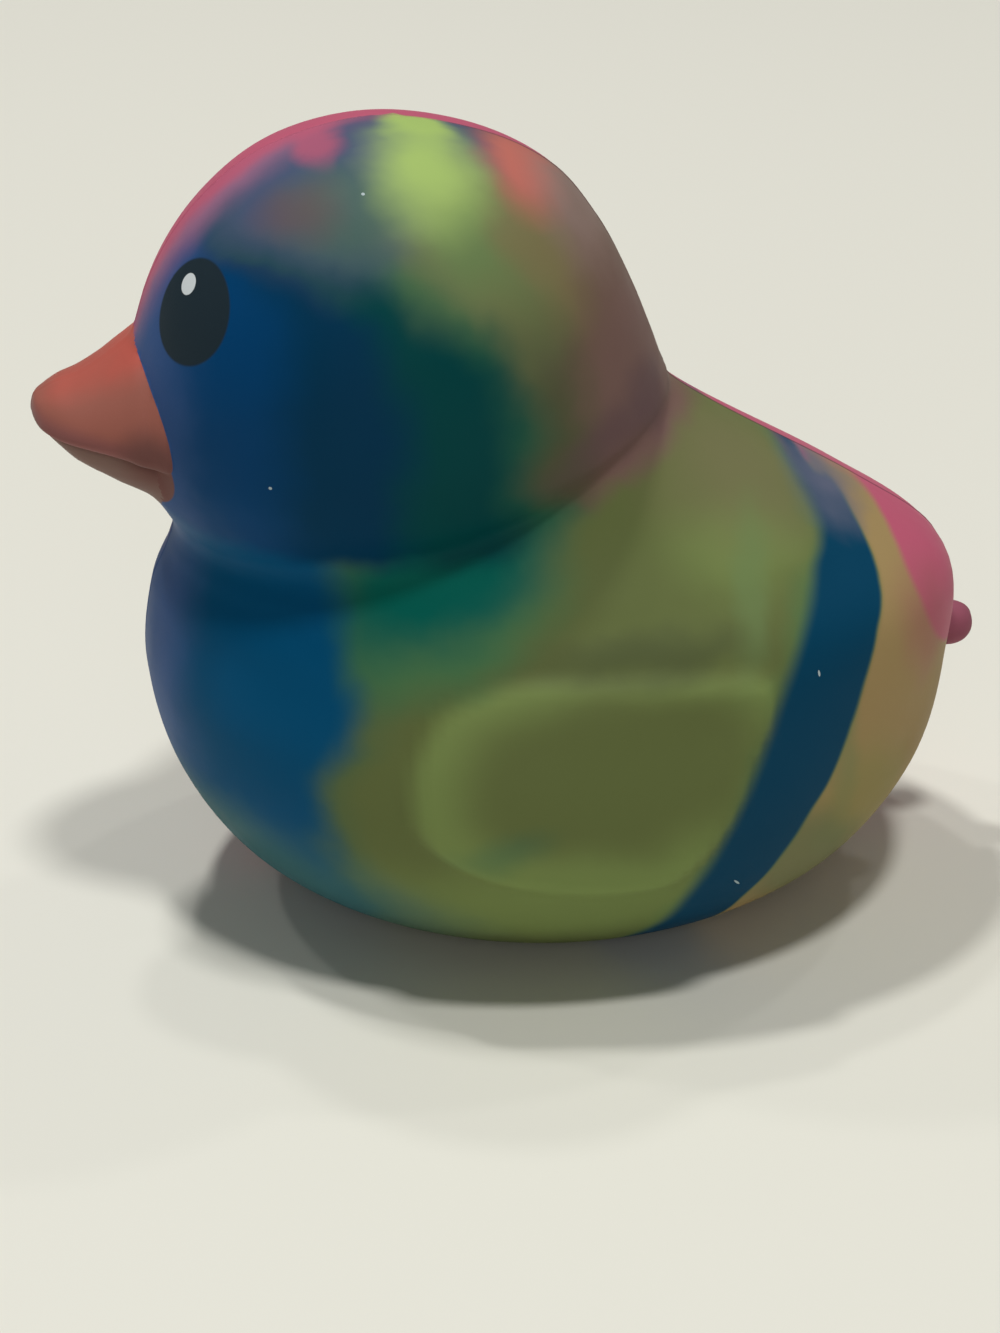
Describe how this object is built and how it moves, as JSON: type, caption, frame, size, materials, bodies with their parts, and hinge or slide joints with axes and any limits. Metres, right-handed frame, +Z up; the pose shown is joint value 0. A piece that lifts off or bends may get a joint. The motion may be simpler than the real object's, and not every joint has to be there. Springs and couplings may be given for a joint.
{
  "type": "rubber duck",
  "caption": "Soft stretchy toy duck moulded in one piece, with a rounded head, a bill, raised wing pads, a small tail knob and a flat spot to rest on.",
  "frame": {"origin": "middle of the flat spot under the belly, at floor level", "axes": "+Z up, -Y the way the bill points, +X the duck's left side; the YZ plane is the plane of symmetry"},
  "size_m": [0.092, 0.1318, 0.1083],
  "materials": {
    "rubber": "satin, swirled in blue, olive, green, pink and orange"
  },
  "bodies": {
    "root": {"duck": "rubber"}
  },
  "joints": []
}
